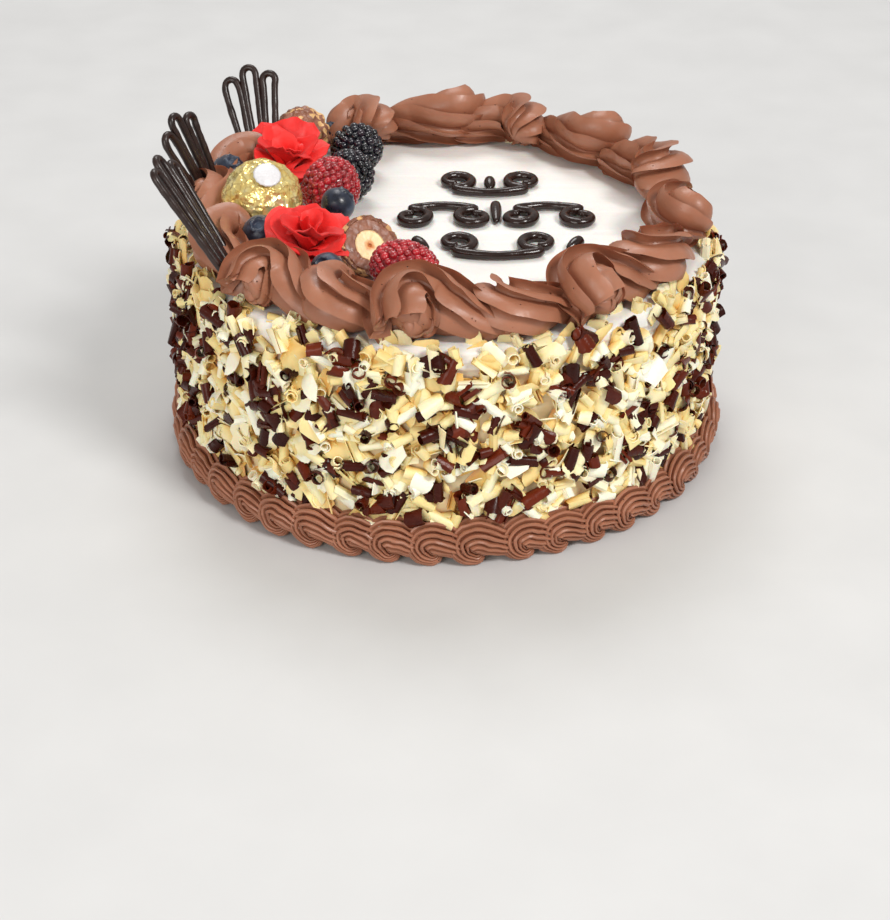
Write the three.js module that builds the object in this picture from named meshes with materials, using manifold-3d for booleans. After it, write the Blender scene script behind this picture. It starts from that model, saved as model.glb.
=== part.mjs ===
// A round chocolate berry cake, in millimetres, +Z up.
// The origin is the middle of the flat underside. The front of the cake faces -Y.
// White cream wall with chocolate curls, a border of piped shells round the foot, a ring of
// piped swirls on the top edge, three rows of piped scrolls on the top, and a heap of berries,
// roses, nut chocolates and chocolate fans on the left of the top.
import * as THREE from "three";
import { mergeVertices } from "three/addons/utils/BufferGeometryUtils.js";
import Module from "manifold-3d";

const wasm = await Module();
wasm.setup();

// ---- driving dimensions ----
const CAKE_HEIGHT = 90;
const WALL_RADIUS = 108;
const TOP_EDGE_ROUND = 5;
const WALL_FACETS = 48;
const EDGE_FACETS = 3;
const GAP = 0.3;                    // left between touching pieces
const TOP = CAKE_HEIGHT + GAP;      // where whatever lies on the cake begins

// curls stuck to the wall
const CURL_ROWS = 7;
const CURLS_IN_ROW = 15;
const CURL_SIDES = 5;
const CURL_LOWEST = 25;
const CURL_HIGHEST = 80;
const CURL_RADIUS = [2.1, 2.9];
const CURL_LENGTH = [8, 13];
const CURL_TILT = 0.25;             // radians out of the wall, either way
const CURL_SHIFT = 0.3;             // from its even place, against the space between two
const CURL_HEIGHT_SHIFT = 2.5;
const CURL_REACH = 113.2;           // how far the curls stand out from the axis
const DROOP_CLEARANCE = 75;         // no curl above this height under a drooping swirl
const DROOP_REACH = 22;             // width of wall that such a swirl covers, to each side

// border of shells round the foot
const BORDER_SHELLS = 43;
const BORDER_STEPS = 4;             // facets along one shell
const BORDER_SIDES = 5;             // facets round its section
const BORDER_OUTER_RADIUS = 118.5;
const BORDER_HEIGHT = 19;
const BORDER_HEAD = 0.25;           // share of a shell's length in which it reaches its full size
const BORDER_TAIL = 0.62;           // size of a shell's tail against its head
const BORDER_WAIST = 0.45;          // height at which a shell is widest, against its own
const BORDER_LOWEST = 0.35;         // height that a shell keeps where it is thinnest
const BORDER_ROUNDNESS = 0.6;       // 1 for a round section, less for a squarer one
const BORDER_LEAN = 0.35;           // how far a shell's top lags behind its foot

// ring of swirls on the top edge: each is a ridged rope, coiled once and pulled out to a tail
const RING_RADIUS = 95;
const SWIRL_RIBS = 5;
const SWIRL_GROOVE = 0.28;          // groove depth against the rope's radius
const SWIRL_ROPE = 9.6;             // radius of the rope at its thickest
const SWIRL_STEPS = 7;              // facets along the rope
const SWIRL_TWIST = -2.4;           // radians that the ribs turn along the rope
const SWIRL_ROOM = 0.8;             // kept free by one swirl's tail round the next swirl
const BEND_LIMIT = 0.9;             // reach into a bend, against the bend's own radius
const SWIRL_COILED = 0.87;          // share of the rope before the end of its tail
// The rope's course: along the ring, sideways and up from the cake's top, and its thickness.
const SWIRL_COURSE = [
  { along: -2.5, aside: 9.5, rise: 7.5, thick: 1.18 },
  { along: -4, aside: 5.5, rise: 10.4, thick: 1.3 },
  { along: -3.5, aside: 0.5, rise: 12, thick: 1.3 },
  { along: 0.5, aside: -3.5, rise: 12, thick: 1.24 },
  { along: 7, aside: -4, rise: 11, thick: 1.12 },
  { along: 14, aside: -1.5, rise: 9.5, thick: 0.98 },
  { along: 22, aside: 1, rise: 7, thick: 0.78 },
  { along: 31, aside: 2.5, rise: 4.5, thick: 0.5 },
];
// angle in degrees from +X, radius, side on which the coil starts (1 outer, -1 inner), size,
// how far the coil is stretched along the ring, and how far it droops over the cake's edge
const SWIRLS = [
  { angle: -134.5, radius: 96, side: 1, size: 1.0, stretch: 1.0, droop: 2 },
  { angle: -116, radius: 93.5, side: -1, size: 0.95, stretch: 1.0, droop: 0 },
  { angle: -97, radius: 95.5, side: 1, size: 1.12, stretch: 1.0, droop: 6 },
  { angle: -76, radius: 95, side: -1, size: 0.9, stretch: 1.15, droop: 0 },
  { angle: -56, radius: 95, side: 1, size: 1.1, stretch: 1.0, droop: 5 },
  { angle: -34, radius: 94, side: -1, size: 1.0, stretch: 1.15, droop: 0 },
  { angle: -8, radius: 96, side: 1, size: 1.0, stretch: 1.15, droop: 0 },
  { angle: 19, radius: 94, side: -1, size: 1.05, stretch: 1.15, droop: 0 },
  { angle: 47, radius: 97, side: 1, size: 0.97, stretch: 1.15, droop: 0 },
  { angle: 70.5, radius: 95.5, side: -1, size: 0.96, stretch: 1.0, droop: 0 },
  { angle: 88, radius: 98, side: 1, size: 1.0, stretch: 1.25, droop: 0 },
  { angle: 113, radius: 95, side: -1, size: 1.0, stretch: 0.55, droop: 0 },
  { angle: 133, radius: 96, side: 1, size: 0.95, stretch: 1.0, droop: 0 },
  { angle: 153, radius: 95, side: -1, size: 0.95, stretch: 1.1, droop: 0 },
  { angle: 177, radius: 96, side: 1, size: 0.95, stretch: 1.15, droop: 0 },
  { angle: 201, radius: 93, side: -1, size: 0.95, stretch: 1.1, droop: 0 },
];

// heap on the top: centre and radius of each round piece
const FOIL_BALL = { at: [-74, -10.8, TOP + 17.2], radius: 17 };
const NUT_BALL = { at: [-63.1, 68.3, TOP + 13.2], radius: 13 };
const CUT_BALL = { at: [-29.6, -40.9, TOP + 11], radius: 12.6 };
const LABEL_ANGLE = 18 * Math.PI / 180;
const LABEL_THICKNESS = 0.6;
const LABEL_FACING = [0.2, -0.5, 0.84];
const CUT_FACING = [0.42, -0.62, 0.66];
const COATING = 1.7;                // nut coating of the cut ball
const HAZELNUT_RADIUS = 6;
const RASPBERRIES = [
  { at: [-47.2, 6.4, 104.9], radius: 12.1, long: 1.12, lean: [0.3, 0.2, 1] },
  { at: [-15.5, -63.3, 101.6], radius: 11.2, long: 1.28, lean: [0.86, -0.2, -0.16] },
];
const BRAMBLES = [
  { at: [-38.6, 58.2, 101.6], radius: 11, long: 1.1, lean: [0.6, -0.5, 0.5] },
  { at: [-40.8, 28.8, 101.4], radius: 10.8, long: 1.05, lean: [0.4, -0.2, 0.8] },
];
const BLUEBERRIES = [
  { at: [-72.6, -35.5, 104], radius: 7.5, lean: [-0.1, -0.55, 0.8] },
  { at: [-91.5, 30.1, 102.6], radius: 7.5, lean: [0.3, -0.3, 0.8] },
  { at: [-43.3, -13, 106.5], radius: 7.1, lean: [0.6, 0.2, 0.7] },
  { at: [-45.2, -63.6, 101.8], radius: 6.7, lean: [-0.3, -0.6, 0.7] },
  { at: [-49.8, 83, 98.6], radius: 6.2, lean: [0.2, 0.1, 1] },
];
const BERRY_VALLEY = 0.87;          // radius between the bumps against that at their tops
const COARSE_BALL_DEPTH = 0.93;     // nearest face against the corners of a coarse ball
const PETAL_THICKNESS = 1.3;
const PETAL_FOOT_WIDTH = 0.55;      // against its greatest width
const PETAL_CORNER_DROP = 0.35;     // of its height, by which its corners are lower than its tip
const PETAL_RUFFLES = 9;            // radians of a wave across it
const PETAL_SINK = 0.28;            // of its radius, by which its foot lies below the middle
const ROSE_HEART = [0.5, 0.55, 0.5];
// distance, width, height and outward bend of the petals of a layer, against the rose's radius
const ROSE_LAYERS = [
  { count: 2, distance: 0.16, width: 0.8, height: 1.0, cup: 2, outward: 0.1, ruffle: 0.8 },
  { count: 5, distance: 0.36, width: 0.95, height: 0.98, cup: 2.5, outward: 0.46, ruffle: 1.4 },
];
const ROSE_LAYER_TURN = 0.6;
const ROSES = [
  { at: [-67.2, 41.3, 103.5], radius: 15.5, lean: [0.1, -0.35, 1], turn: 0.4 },
  { at: [-52.9, -45.1, 107], radius: 16.5, lean: [0.15, -0.3, 1], turn: 1.3 },
];
// chocolate fans: three narrow loops side by side, standing in the cream
const FAN_ROD = 1.35;
const FAN_LOOPS = 3;
const FAN_SPREAD = 8.3;             // between the tops of two loops
const FAN_FOOT_SPREAD = 3.4;
const FAN_LOOP_WIDTH = 5.6;
// where a loop's leg lies beside its middle, in halves of its width
const FAN_FOOT = 0.4;
const FAN_WAIST = 0.75;
const FAN_SHOULDER = 0.7;
const FAN_MIDDLE_EXTRA = 4;
const FAN_STATIONS = [0, 0.3, 0.452, 0.474, 0.5, 0.526, 0.548, 0.7, 1];
const FANS = [
  { foot: [-78, 44, TOP], top: [-85, 70, 130], across: [16, 0, 3] },
  { foot: [-93, 10, TOP], top: [-109, 10, 131], across: [8.4, 14.7, -1.4] },
  { foot: [-77, -62, TOP], top: [-107.5, -46, 136], across: [3.4, 16.5, -2.2] },
];
// piped scrolls on the top: middle, width, size of the end spirals, and side to which they curl
const SCROLL_STROKE = 2.0;
const SCROLL_TURNS = 1.05;
const SCROLL_STEPS = 20;
const SCROLL_ARCH = 4;              // how far the line between the spirals bows out
const SCROLL_INNER = 1.5;           // radius at the middle of a spiral, in strokes
const SCROLL_LIFT = 0.8;            // height of the stroke's middle, in strokes
const SCROLL_SWELL = 0.12;
const SCROLLS = [
  { at: [19, 41], width: 46, spiral: 8.2, curl: -1 },
  { at: [-1, 11], width: 42, spiral: 8, curl: 1 },
  { at: [43, 11], width: 42, spiral: 8, curl: 1 },
  { at: [21, -22], width: 50, spiral: 8.2, curl: -1 },
];
const DROP_SIZE = [0.5, 0.8];       // radius at its tip and what its head adds, in strokes
const DROPS = [
  { at: [19, 46], toward: [0, -9] },
  { at: [21, 20], toward: [0, -17] },
  { at: [-13, -16], toward: [6, -7] },
  { at: [55, -16], toward: [-6, -7] },
];

const UP = new THREE.Vector3(0, 0, 1);
const cake = new THREE.Group();

// ---- helpers ----
function randomFrom(seed) {
  let state = seed;
  return (low, high) => {
    state = (state * 1664525 + 1013904223) % 4294967296;
    return low + (high - low) * state / 4294967296;
  };
}

function vector(list) {
  return new THREE.Vector3(...list);
}

// A closed three.js geometry as a solid.
function solidFrom(geometry) {
  const bare = geometry.clone();
  bare.deleteAttribute("normal");
  bare.deleteAttribute("uv");
  const merged = mergeVertices(bare, 1e-4);
  const vertProperties = new Float32Array(merged.attributes.position.array);
  const triVerts = new Uint32Array(merged.index.array);
  return new wasm.Manifold(new wasm.Mesh({ numProp: 3, vertProperties, triVerts }));
}

// The largest body of a solid: what a cut leaves as loose scraps is dropped.
function largestBody(solid) {
  const bodies = solid.decompose();
  return bodies.reduce((best, body) => (body.volume() > best.volume() ? body : best));
}

function add(name, solid, colour, roughness = 0.5, metalness = 0) {
  const mesh = largestBody(solid).getMesh();
  const geometry = new THREE.BufferGeometry();
  geometry.setAttribute("position", new THREE.BufferAttribute(mesh.vertProperties, mesh.numProp));
  geometry.setIndex(new THREE.BufferAttribute(mesh.triVerts, 1));
  const piece = new THREE.Mesh(
    geometry, new THREE.MeshStandardMaterial({ color: colour, roughness, metalness }));
  piece.name = name;
  cake.add(piece);
}

function evenly(steps, from = 0, to = 1) {
  return Array.from({ length: steps + 1 }, (_, k) => from + (to - from) * k / steps);
}

function unionOf(solids) {
  return solids.reduce((all, one) => all.add(one));
}

// Turns a geometry's +Y to a direction and moves it to a place.
function stand(geometry, direction, place) {
  const turn = new THREE.Quaternion().setFromUnitVectors(
    new THREE.Vector3(0, 1, 0), vector(direction).normalize());
  geometry.applyQuaternion(turn);
  geometry.translate(...place);
  return geometry;
}

// A rope along a curve, with a ring of facets at each of its stations. thickness(t) is its
// radius, ridge(k) the share of it at facet k, twist how far its facets turn along it, and up
// the direction that its section keeps. It is pressed flat where it meets the floor.
function rope(curve, thickness, { sides, stations, ridge = () => 1, twist = 0, up = UP, floor = 0 }) {
  const steps = stations.length - 1;
  const geometry = new THREE.CylinderGeometry(1, 1, 1, sides, steps);
  const position = geometry.attributes.position;
  const step = 0.01;
  for (let i = 0; i < position.count; i++) {
    const t = stations[Math.round((position.getY(i) + 0.5) * steps)];
    const place = curve.getPointAt(t);
    const along = curve.getTangentAt(t);
    const before = Math.max(0, t - step);
    const after = Math.min(1, t + step);
    const bend = curve.getTangentAt(after).sub(curve.getTangentAt(before));
    bend.divideScalar((after - before) * curve.getLength());
    const side = along.clone().cross(up).normalize();
    const rise = side.clone().cross(along);
    const x = position.getX(i);
    const z = position.getZ(i);
    const facet = Math.round(Math.atan2(x, z) / (2 * Math.PI) * sides + sides) % sides;
    const radius = Math.hypot(x, z) > 0.5 ? thickness(t) * ridge(facet) : 0;
    const angle = Math.atan2(z, x) + twist * t;
    const offset = side.multiplyScalar(Math.cos(angle) * radius);
    offset.add(rise.multiplyScalar(Math.sin(angle) * radius));
    // the inner side of a tight bend stops short of the bend's own centre
    const curvature = bend.length();
    if (curvature > 1e-6) {
      const inward = bend.divideScalar(curvature);
      const reach = offset.dot(inward);
      const limit = BEND_LIMIT / curvature;
      if (reach > limit) offset.addScaledVector(inward, limit - reach);
    }
    place.add(offset);
    position.setXYZ(i, place.x, place.y, Math.max(place.z, floor));
  }
  return geometry;
}

// Moves every vertex to a new place, worked out from its old one.
function reshape(geometry, rule) {
  const position = geometry.attributes.position;
  const point = new THREE.Vector3();
  for (let i = 0; i < position.count; i++) {
    point.fromBufferAttribute(position, i);
    rule(point);
    position.setXYZ(i, point.x, point.y, point.z);
  }
  return geometry;
}

// ---- cake with its curls ----
function coreGeometry(grow) {
  const profile = [new THREE.Vector2(0, -grow), new THREE.Vector2(WALL_RADIUS + grow, -grow)];
  for (let k = 0; k <= EDGE_FACETS; k++) {
    const angle = k / EDGE_FACETS * Math.PI / 2;
    profile.push(new THREE.Vector2(
      WALL_RADIUS + grow - TOP_EDGE_ROUND * (1 - Math.cos(angle)),
      CAKE_HEIGHT + grow - TOP_EDGE_ROUND * (1 - Math.sin(angle))));
  }
  profile.push(new THREE.Vector2(0, CAKE_HEIGHT + grow));
  return stand(new THREE.LatheGeometry(profile, WALL_FACETS), [0, 0, 1], [0, 0, 0]);
}

function curl(random, angle, height) {
  const radius = random(...CURL_RADIUS);
  const length = random(...CURL_LENGTH);
  const prism = new THREE.CylinderGeometry(radius, radius, length, CURL_SIDES, 1);
  const spin = random(0, Math.PI);
  const tilt = random(-CURL_TILT, CURL_TILT);
  prism.rotateZ(spin);
  prism.rotateX(tilt);
  const away = CURL_REACH - radius - Math.abs(Math.sin(tilt)) * length / 2;
  prism.rotateX(Math.PI / 2);
  prism.rotateZ(angle + Math.PI / 2);
  prism.translate(away * Math.cos(angle), away * Math.sin(angle), height);
  return solidFrom(prism);
}

// Whether a swirl that droops over the edge hangs near an angle of the wall.
function underDroop(angle) {
  return SWIRLS.some((row) => {
    const away = angle - THREE.MathUtils.degToRad(row.angle);
    return row.droop > 0 && Math.cos(away) > Math.cos(DROOP_REACH / WALL_RADIUS);
  });
}

function curls() {
  const random = randomFrom(7);
  const pieces = [];
  for (let row = 0; row < CURL_ROWS; row++) {
    const height = CURL_LOWEST + (CURL_HIGHEST - CURL_LOWEST) * row / (CURL_ROWS - 1);
    for (let k = 0; k < CURLS_IN_ROW; k++) {
      const shift = random(-CURL_SHIFT, CURL_SHIFT);
      const angle = (k + row / 2 + shift) * 2 * Math.PI / CURLS_IN_ROW;
      const piece = curl(random, angle, height + random(-CURL_HEIGHT_SHIFT, CURL_HEIGHT_SHIFT));
      if (height < DROOP_CLEARANCE || !underDroop(angle)) pieces.push(piece);
    }
  }
  return unionOf(pieces);
}

// ---- border ----
// Fullness of a shell at a share of its length: full at its head, thin at its tail.
function fullness(share) {
  const s = share - Math.floor(share);
  const growing = Math.min(1, s / BORDER_HEAD);
  const fading = 1 - Math.max(0, s - BORDER_HEAD) / (1 - BORDER_HEAD);
  return BORDER_TAIL + (1 - BORDER_TAIL) * Math.min(growing, fading);
}

// A sine or cosine drawn out towards -1 and 1, which makes a round section squarer.
function squared(value) {
  return Math.sign(value) * Math.abs(value) ** BORDER_ROUNDNESS;
}

function border() {
  const around = BORDER_SHELLS * BORDER_STEPS;
  const ring = new THREE.TorusGeometry(1, 0.5, BORDER_SIDES, around);
  const { position, uv } = ring.attributes;
  const inner = WALL_RADIUS + GAP;
  const width = BORDER_OUTER_RADIUS - inner;
  for (let i = 0; i < position.count; i++) {
    const angle = uv.getX(i) * 2 * Math.PI;
    const section = uv.getY(i) * 2 * Math.PI;
    const rise = Math.sin(section);
    const outward = 0.5 + 0.5 * squared(Math.cos(section));
    const upward = rise < -0.1 ? 0 : BORDER_WAIST + (1 - BORDER_WAIST) * squared(rise);
    const full = fullness(uv.getX(i) * BORDER_SHELLS - upward * BORDER_LEAN);
    const radius = inner + width * outward * full;
    const height = BORDER_HEIGHT * upward * (BORDER_LOWEST + (1 - BORDER_LOWEST) * full);
    position.setXYZ(i, radius * Math.cos(angle), radius * Math.sin(angle), height);
  }
  return solidFrom(ring);
}

// ---- swirls ----
function swirlCurve({ angle, radius, side, size, stretch }) {
  const points = SWIRL_COURSE.map(({ along, aside, rise }) => {
    const out = radius + side * aside * size;
    const turn = THREE.MathUtils.degToRad(angle) + along * size * stretch / RING_RADIUS;
    return new THREE.Vector3(out * Math.cos(turn), out * Math.sin(turn), TOP + rise * size);
  });
  return new THREE.CatmullRomCurve3(points, false, "centripetal");
}

// The swirl with its ribs, or grown and without them, as the room that it takes up.
function swirlSolid(row, ribbed, grow) {
  const last = SWIRL_COURSE.length - 1;
  const thickness = (t) => {
    const k = Math.min(last - 1, Math.floor(t * last));
    const share = THREE.MathUtils.lerp(
      SWIRL_COURSE[k].thick, SWIRL_COURSE[k + 1].thick, t * last - k);
    return SWIRL_ROPE * row.size * share + grow;
  };
  const options = { sides: SWIRL_RIBS * 2 };
  if (ribbed) options.ridge = (facet) => (facet % 2 ? 1 - SWIRL_GROOVE : 1);
  options.twist = SWIRL_TWIST;
  options.floor = TOP - row.droop - (ribbed ? 0 : 1);
  options.stations = evenly(SWIRL_STEPS).filter((t) => ribbed || t <= SWIRL_COILED);
  return solidFrom(rope(swirlCurve(row), thickness, options));
}

// ---- heap ----
// A ball of 32 bumps: the corners and face centres of an icosahedron stand out.
function bumpyBall(radius, valley, long, direction, place) {
  const ball = new THREE.IcosahedronGeometry(1, 2);
  const corners = new THREE.IcosahedronGeometry(1, 0).attributes.position;
  const peaks = [];
  const corner = new THREE.Vector3();
  for (let i = 0; i < corners.count; i += 3) {
    const middle = new THREE.Vector3();
    for (let k = 0; k < 3; k++) {
      corner.fromBufferAttribute(corners, i + k);
      peaks.push(corner.clone());
      middle.add(corner);
    }
    peaks.push(middle.normalize());
  }
  reshape(ball, (point) => {
    const isPeak = peaks.some((peak) => peak.dot(point) > 0.99);
    point.multiplyScalar(radius * (isPeak ? 1 : valley));
    point.y *= long;
  });
  return stand(ball, direction, place);
}

function crumpledBall(radius, detail, depth, seed, place) {
  const random = randomFrom(seed);
  const ball = mergeVertices(bareGeometry(new THREE.IcosahedronGeometry(1, detail)), 1e-4);
  reshape(ball, (point) => point.multiplyScalar(radius * random(1 - depth, 1)));
  ball.translate(...place);
  return ball;
}

function bareGeometry(geometry) {
  geometry.deleteAttribute("normal");
  geometry.deleteAttribute("uv");
  return geometry;
}

function arc(radius, from, to, steps) {
  return Array.from({ length: steps + 1 }, (_, k) => {
    const angle = from + (to - from) * k / steps;
    return new THREE.Vector2(Math.abs(Math.sin(angle)) * radius, Math.cos(angle) * radius);
  });
}

function label() {
  const inner = FOIL_BALL.radius + GAP;
  const outer = inner + LABEL_THICKNESS;
  const profile = [...arc(inner, 0, LABEL_ANGLE, 1), ...arc(outer, LABEL_ANGLE, 0, 1)];
  return stand(new THREE.LatheGeometry(profile, 16), LABEL_FACING, FOIL_BALL.at);
}

// Half a ball, hollow down to an inner radius, with its flat face at the middle.
function halfShell(outer, inner, steps) {
  const profile = arc(outer, Math.PI, Math.PI / 2, steps);
  if (inner > 0) profile.push(...arc(inner, Math.PI / 2, Math.PI, steps));
  else profile.push(new THREE.Vector2(0, 0));
  return stand(new THREE.LatheGeometry(profile, 12), CUT_FACING, CUT_BALL.at);
}

function blueberry({ at, radius: r, lean }) {
  const profile = [
    ...arc(r, Math.PI, Math.PI * 0.17, 4),
    new THREE.Vector2(r * 0.44, r * 0.97),
    new THREE.Vector2(r * 0.28, r * 0.82),
    new THREE.Vector2(0, r * 0.8),
  ];
  return stand(new THREE.LatheGeometry(profile, 8), lean, at);
}

function petal(width, height, cup, outward, ruffle) {
  const sheet = new THREE.BoxGeometry(width, height, PETAL_THICKNESS, 3, 1, 1);
  return reshape(sheet, (point) => {
    const up = Math.max(0, point.y / height + 0.5);
    const aside = point.x / width;
    const fromMiddle = 4 * aside * aside;
    point.x *= PETAL_FOOT_WIDTH + (1 - PETAL_FOOT_WIDTH) * Math.sqrt(up);
    point.y = up * height * (1 - PETAL_CORNER_DROP * fromMiddle * up);
    point.z += cup * (1 - fromMiddle) * 0.5 + outward * up * up;
    point.z += ruffle * up * Math.sin(aside * PETAL_RUFFLES);
  });
}

function rose({ at, radius, lean, turn }) {
  const heart = new THREE.IcosahedronGeometry(1, 0);
  heart.scale(...ROSE_HEART.map((share) => share * radius));
  const pieces = [solidFrom(heart)];
  ROSE_LAYERS.forEach((layer, index) => {
    for (let k = 0; k < layer.count; k++) {
      const sheet = petal(
        radius * layer.width, radius * layer.height, layer.cup,
        radius * layer.outward, layer.ruffle);
      sheet.translate(0, -radius * PETAL_SINK, radius * layer.distance);
      sheet.rotateY(turn + index * ROSE_LAYER_TURN + k * 2 * Math.PI / layer.count);
      pieces.push(solidFrom(sheet));
    }
  });
  const all = unionOf(pieces);
  const turned = new THREE.Quaternion().setFromUnitVectors(
    new THREE.Vector3(0, 1, 0), vector(lean).normalize());
  const matrix = new THREE.Matrix4().compose(vector(at), turned, new THREE.Vector3(1, 1, 1));
  return all.transform(matrix.toArray());
}

// ---- fans ----
function fanFrame({ foot, top, across }) {
  const base = vector(foot);
  const tall = vector(top).sub(base);
  const rise = tall.clone().normalize();
  const facing = vector(across).cross(rise).normalize();
  const sideways = rise.clone().cross(facing);
  return { base, height: tall.length(), sideways, rise, facing };
}

function fan(row) {
  const { base, height: tall, sideways, rise, facing } = fanFrame(row);
  const half = FAN_LOOP_WIDTH / 2;
  const loops = [];
  for (let k = 0; k < FAN_LOOPS; k++) {
    const place = k - (FAN_LOOPS - 1) / 2;
    const height = tall + (place === 0 ? FAN_MIDDLE_EXTRA : 0) - half;
    const start = place * FAN_FOOT_SPREAD;
    const end = place * FAN_SPREAD;
    const leg = [
      [start - half * FAN_FOOT, -1],
      [THREE.MathUtils.lerp(start, end, 0.5) - half * FAN_WAIST, height * 0.5],
      [end - half, height - half],
      [end - half, height],
      [end - half * FAN_SHOULDER, height + half * FAN_SHOULDER],
    ];
    const outline = [...leg, [end, height + half]];
    for (const [x, y] of leg.reverse()) {
      const middle = THREE.MathUtils.lerp(start, end, THREE.MathUtils.clamp(y / height, 0, 1));
      outline.push([2 * middle - x, y]);
    }
    const points = outline.map(([x, y]) =>
      base.clone().addScaledVector(sideways, x).addScaledVector(rise, y));
    const curve = new THREE.CatmullRomCurve3(points, false, "centripetal");
    const options = { sides: 4, stations: FAN_STATIONS, up: facing };
    loops.push(solidFrom(rope(curve, () => FAN_ROD, options)));
  }
  return unionOf(loops);
}

// The slot in the cream in which a fan stands.
function fanSlot(row) {
  const { base, height, sideways, rise, facing } = fanFrame(row);
  const width = FAN_SPREAD * 2 + FAN_LOOP_WIDTH + 2 * (FAN_ROD + GAP);
  const slot = new THREE.BoxGeometry(width, height, 2 * (FAN_ROD + GAP));
  slot.translate(0, height / 2 - FAN_ROD, 0);
  slot.applyMatrix4(new THREE.Matrix4().makeBasis(sideways, rise, facing));
  slot.translate(...base);
  return solidFrom(slot);
}

// ---- scrolls ----
// Two spirals joined by a low arch, all curling to one side.
function scrollCurve({ at, width, spiral, curl: bend }) {
  const inner = SCROLL_STROKE * SCROLL_INNER;
  const middle = width / 2 - spiral;
  const turns = SCROLL_TURNS * 2 * Math.PI;
  const point = (x, y) => new THREE.Vector3(
    at[0] + x, at[1] + bend * (y - SCROLL_ARCH), TOP + SCROLL_STROKE * SCROLL_LIFT);
  const half = (side) => evenly(9).map((share) => {
    const radius = THREE.MathUtils.lerp(inner, spiral, share);
    const angle = Math.PI / 2 + (1 - share) * turns;
    return point(side * (middle + radius * Math.cos(angle)), radius * Math.sin(angle));
  });
  const crown = point(0, spiral + SCROLL_ARCH);
  const points = [...half(-1), crown, ...half(1).reverse()];
  return new THREE.CatmullRomCurve3(points, false, "centripetal");
}

function scroll(row) {
  const stroke = (t) => SCROLL_STROKE * (1 - SCROLL_SWELL * Math.cos(t * 4 * Math.PI));
  const stations = evenly(SCROLL_STEPS);
  return solidFrom(rope(scrollCurve(row), stroke, { sides: 5, stations, floor: TOP }));
}

function drop({ at, toward }) {
  const start = new THREE.Vector3(...at, TOP + SCROLL_STROKE);
  const end = start.clone().add(vector([...toward, -SCROLL_STROKE * 0.5]));
  const line = new THREE.CatmullRomCurve3([start, start.clone().lerp(end, 0.5), end]);
  const [tip, head] = DROP_SIZE;
  const stroke = (t) => SCROLL_STROKE * (tip + head * Math.sin(Math.PI * (0.2 + 0.8 * t)));
  return solidFrom(rope(line, stroke, { sides: 6, stations: evenly(4), floor: TOP }));
}

// ---- assembly ----
const core = solidFrom(coreGeometry(0));
const grownCore = solidFrom(coreGeometry(GAP));
const berry = (row) => solidFrom(bumpyBall(row.radius, BERRY_VALLEY, row.long, row.lean, row.at));

// The room that the heap takes up in the cream.
function room({ at, radius, long = 1, lean = [0, 0, 1] }) {
  const ball = new THREE.IcosahedronGeometry((radius + GAP) / COARSE_BALL_DEPTH, 1);
  ball.scale(1, long, 1);
  return solidFrom(stand(ball, lean, at));
}

const heapRoom = unionOf([
  ...[FOIL_BALL, NUT_BALL, ...ROSES, ...RASPBERRIES, ...BRAMBLES, ...BLUEBERRIES].map(room),
  ...FANS.map(fanSlot),
]);

add("cake", core.add(curls()), 0xf3ead2, 0.6);
add("bottom_border", border(), 0x8a5a44, 0.5);

SWIRLS.forEach((row, index) => {
  const next = SWIRLS[(index + 1) % SWIRLS.length];
  const nextRoom = swirlSolid(next, false, SWIRL_ROOM);
  let cream = swirlSolid(row, true, 0).subtract(nextRoom).subtract(heapRoom);
  if (row.droop > 0) cream = cream.subtract(grownCore);
  add(`top_swirl_${index + 1}`, cream, 0x8f5d45, 0.45);
});

add("foil_ball", solidFrom(crumpledBall(FOIL_BALL.radius, 2, 0.05, 3, FOIL_BALL.at)),
  0xd9a63c, 0.3, 0.9);
add("foil_ball_label", solidFrom(label()), 0xf4f1ea, 0.5);
add("nut_ball", solidFrom(crumpledBall(NUT_BALL.radius, 2, 0.1, 5, NUT_BALL.at)), 0x8a5436, 0.5);
const filling = CUT_BALL.radius - COATING;
const coating = solidFrom(halfShell(CUT_BALL.radius, filling, 3)).subtract(grownCore);
add("cut_ball_coating", coating, 0x9a6a45, 0.6);
add("cut_ball_filling", solidFrom(halfShell(filling - GAP, HAZELNUT_RADIUS, 3)), 0x7a4a33, 0.5);
add("cut_ball_hazelnut", solidFrom(halfShell(HAZELNUT_RADIUS - GAP, 0, 3)), 0xf0cf9e, 0.5);
RASPBERRIES.forEach((row, k) => add(`raspberry_${k + 1}`, berry(row), 0xb3152a, 0.35));
BRAMBLES.forEach((row, k) => add(`bramble_${k + 1}`, berry(row), 0x14131c, 0.3));
BLUEBERRIES.forEach((row, k) => {
  add(`blueberry_${k + 1}`, solidFrom(blueberry(row)), 0x2a3550, 0.5);
});
ROSES.forEach((row, k) => add(`rose_${k + 1}`, rose(row), 0xe8242c, 0.6));
FANS.forEach((row, k) => {
  add(`chocolate_fan_${k + 1}`, fan(row).subtract(grownCore), 0x2b1713, 0.3);
});
SCROLLS.forEach((row, k) => add(`piped_scroll_${k + 1}`, scroll(row), 0x1f100c, 0.2));
DROPS.forEach((row, k) => add(`piped_drop_${k + 1}`, drop(row), 0x1f100c, 0.2));

export default cake;
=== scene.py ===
"""The looks of a round chocolate berry cake: white cream with chocolate curls, piped chocolate
cream, and a heap of berries, roses, nut chocolates and chocolate fans on the left of its top.

Lengths are in millimetres, and become metres where a mesh is made.
"""

import math

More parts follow.
